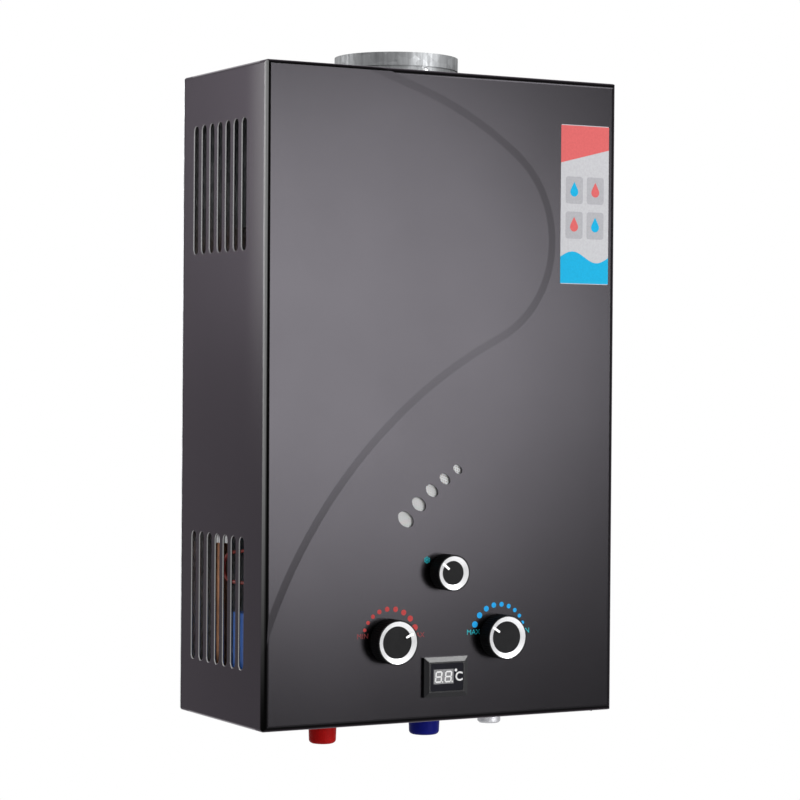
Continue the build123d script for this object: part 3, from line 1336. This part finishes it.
def make_battery_box():
    ceiling = BOX_CEILING + BATTERY_WALL
    box = span(BOX_LEFT, BOX_RIGHT, BOX_FRONT, BOX_BACK, BOX_BASE, ceiling)
    box -= span(
        BOX_LEFT + BATTERY_WALL, BOX_RIGHT - BATTERY_WALL, BOX_FRONT + BATTERY_WALL, BOX_BACK - BATTERY_WALL,
        BOX_BASE, BOX_CEILING,
    )
    flange = span(
        BOX_LEFT - BATTERY_FLANGE, BOX_RIGHT + BATTERY_FLANGE, BOX_FRONT - BATTERY_FLANGE,
        BOX_BACK + BATTERY_FLANGE, FLOOR_TOP, FLOOR_TOP + BATTERY_WALL,
    )
    box += flange - span(BOX_LEFT, BOX_RIGHT, BOX_FRONT, BOX_BACK, FLOOR_TOP, FLOOR_TOP + BATTERY_WALL)
    for y0, y1 in lug_spans():
        lug = span(BOX_RIGHT - BATTERY_WALL, HINGE_X, y0, y1, BOX_BASE, FLOOR_BASE - SEAM)
        lug += span(HINGE_X - LUG_R, HINGE_X + LUG_R, y0, y1, HINGE_Z, FLOOR_BASE - SEAM)
        lug += rod_y(HINGE_X, y0, y1, HINGE_Z, LUG_R)
        box += lug - rod_y(HINGE_X, y0, y1, HINGE_Z, HINGE_PIN_R + FIT)
    return box


def lug_spans():
    return ((BOX_FRONT, BOX_FRONT + LUG_WIDTH), (BOX_BACK - LUG_WIDTH, BOX_BACK))


def make_battery_door():
    front = BOX_FRONT + LUG_WIDTH + DOOR_SIDE_GAP
    back = BOX_BACK - LUG_WIDTH - DOOR_SIDE_GAP
    door = span(BOX_LEFT, BOX_RIGHT - LUG_R, BOX_FRONT, BOX_BACK, DOOR_BASE, DOOR_TOP)
    door += span(BOX_RIGHT - 2 * LUG_R, HINGE_X, front, back, DOOR_BASE, DOOR_TOP)
    door += rod_y(HINGE_X, front, back, HINGE_Z, HINGE_R)
    return door + rod_y(HINGE_X, BOX_FRONT, BOX_BACK, HINGE_Z, HINGE_PIN_R)


def make_batteries():
    cells = []
    for y in cell_rows():
        cell = rod_z(BOX_X, y, CELL_BASE, CELL_BASE + BATTERY_LENGTH, BATTERY_R)
        cells.append(cell + rod_z(BOX_X, y, CELL_BASE + BATTERY_LENGTH, CELL_TOP, BATTERY_NUB_R))
    return group(cells)


def make_battery_contacts():
    return group([rod_z(BOX_X, y, CELL_TOP, BOX_CEILING, CONTACT_R) for y in cell_rows()])


def make_door_contact():
    front, back = cell_rows()
    return span(
        BOX_X - BATTERY_NUB_R, BOX_X + BATTERY_NUB_R, front - CONTACT_R, back + CONTACT_R, DOOR_TOP, CELL_BASE
    )


# Brackets

def make_brackets():
    """Angle brackets from the back plate to the burner frame and to the hood."""
    seats = [(x, CHAMBER_BACK, FRAME_BASE + BRACKET_SHEET) for x in (-BRACKET_X, BRACKET_X)]
    seats += [(x, HOOD_BACK, HOOD_TOP - BRACKET_TAB - BRACKET_SHEET) for x in (-BRACKET_X, BRACKET_X)]
    brackets = []
    for x, reach, z in seats:
        left = x - BRACKET_WIDTH / 2
        right = x + BRACKET_WIDTH / 2
        shelf = span(left, right, reach, BACK_FACE, z, z + BRACKET_SHEET)
        shelf += span(left, right, BACK_FACE - BRACKET_SHEET, BACK_FACE, z, z + BRACKET_TAB)
        brackets.append(shelf + span(left, right, reach, reach + BRACKET_SHEET, z, z + BRACKET_TAB))
    return group(brackets)


def make_nodes():
    bezel, lens, board = make_display()
    knobs = {
        "season": (0, SEASON_Z, SEASON_KNOB_R, SEASON_RING_INNER_R, SEASON_FLUTES, SEASON_POINTER),
        "gas": (-KNOB_PAIR_X, KNOB_Z, MAIN_KNOB_R, MAIN_RING_INNER_R, MAIN_FLUTES, GAS_POINTER),
        "water": (KNOB_PAIR_X, KNOB_Z, MAIN_KNOB_R, MAIN_RING_INNER_R, MAIN_FLUTES, WATER_POINTER),
    }
    nodes = {
        "front_cover": make_front_cover(),
        "back_plate": make_back_plate(),
        "bottom_plate": make_bottom_plate(),
        "cover_screws": make_cover_screws(),
        "viewing_mesh": make_viewing_mesh(),
        "display_bezel": bezel,
        "display_lens": lens,
        "display_board": board,
        "flue_collar": make_flue_collar(),
        "collar_rivets": make_collar_rivets(),
        "draught_hood": make_draught_hood(),
        "combustion_chamber": make_chamber(),
        "fin_block": make_fin_block(),
        "exchanger_tube": make_exchanger_tube(),
        "chamber_coil": make_chamber_coil(),
        "cold_pipe": make_cold_pipe(),
        "hot_pipe": make_hot_pipe(),
        "burner_frame": make_burner_frame(),
        "burner_bars": make_burner_bars(),
        "gas_manifold": make_gas_manifold(),
        "injectors": make_injectors(),
        "gas_valve_body": make_gas_valve(),
        "solenoid_valve": make_solenoid(),
        "gas_pipe": make_gas_pipe(),
        "gas_nipple": make_gas_nipple(),
        "water_valve_body": make_water_valve(),
        "diaphragm": make_diaphragm(),
        "diaphragm_cover": make_diaphragm_cover(),
        "push_rod": make_push_rod(),
        "return_spring": make_return_spring(),
        "microswitch": make_microswitch(),
        "microswitch_lever": make_microswitch_lever(),
        "cold_nipple": make_cold_nipple(),
        "hot_nipple": make_hot_nipple(),
        "inlet_filter": make_inlet_filter(),
        "pipe_locknuts": make_locknuts(),
        "hot_cap": make_cap(HOT_X, HOT_CAP_R, HOT_CAP_DROP),
        "cold_cap": make_cap(COLD_X, COLD_CAP_R, COLD_CAP_DROP),
        "igniter_box": make_igniter_box(),
        "electrodes": group([make_electrode(x) for x in (ELECTRODE_X, SENSOR_X)]),
        "overheat_thermostat": make_thermostat(),
        "temperature_probe": make_probe(),
        "ignition_lead": make_ignition_lead(),
        "display_lead": make_display_lead(),
        "sensor_lead": make_sensor_lead(),
        "battery_box": make_battery_box(),
        "battery_door": make_battery_door(),
        "batteries": make_batteries(),
        "battery_contacts": make_battery_contacts(),
        "door_contact": make_door_contact(),
        "support_brackets": make_brackets(),
    }
    for name, sizes in knobs.items():
        body, ring, spindle = make_knob(*sizes)
        nodes[name + "_knob"] = body
        nodes[name + "_ring"] = ring
        nodes[name + "_spindle"] = spindle
    return nodes


os.makedirs("parts", exist_ok=True)
for name, shape in make_nodes().items():
    export_step(shape, os.path.join("parts", name + ".step"))
